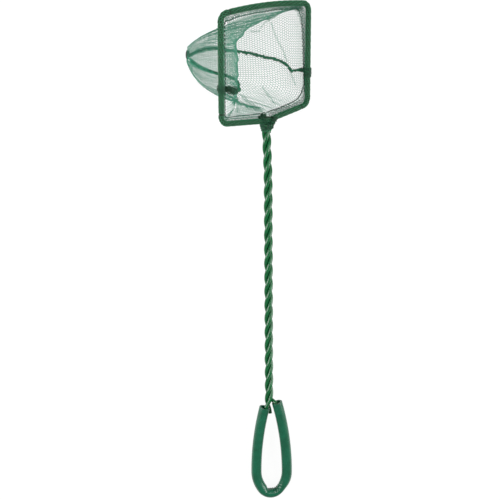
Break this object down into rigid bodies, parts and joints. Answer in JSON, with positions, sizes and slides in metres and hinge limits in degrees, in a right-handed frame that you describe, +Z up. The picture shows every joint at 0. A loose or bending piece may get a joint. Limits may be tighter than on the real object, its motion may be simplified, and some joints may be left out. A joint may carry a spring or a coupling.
{
  "type": "aquarium fish net",
  "caption": "Small aquarium hand net: mesh bag on a bent wire hoop, twisted coated-wire handle and a loop grip in a soft tube.",
  "frame": {"origin": "on the table, at the middle of the net's bounding box, with the net lying as in the picture", "axes": "+Z up from the table, +Y from the end of the grip towards the hoop, +X to the right when looking along +Y"},
  "size_m": [0.0881, 0.359, 0.0685],
  "materials": {
    "steel": "drawn wire, bare at its cut end",
    "coating": "smooth glossy green vinyl coating",
    "tube": "soft satin green vinyl tube",
    "mesh": "fine knitted green netting",
    "binding": "netting rolled in layers round the wire",
    "thread": "dark green sewing thread"
  },
  "bodies": {
    "root": {"hoop_core": "steel", "hoop_coating": "coating", "left_strand_core": "steel", "left_strand_coating": "coating", "right_strand_core": "steel", "right_strand_coating": "coating", "return_strand_core": "steel", "return_strand_coating": "coating", "grip_core": "steel", "grip_coating": "coating", "grip_tube": "tube", "hem_left": "binding", "hem_top": "binding", "hem_right": "binding", "hem_bottom_right": "binding", "hem_bottom_left": "binding", "hem_stitch": "thread", "bag_upper": "mesh", "bag_lower": "mesh", "left_seam": "thread", "right_seam": "thread", "left_tie": "thread", "right_tie": "thread", "junction_wrap": "thread", "tip_knot": "thread"}
  },
  "joints": []
}
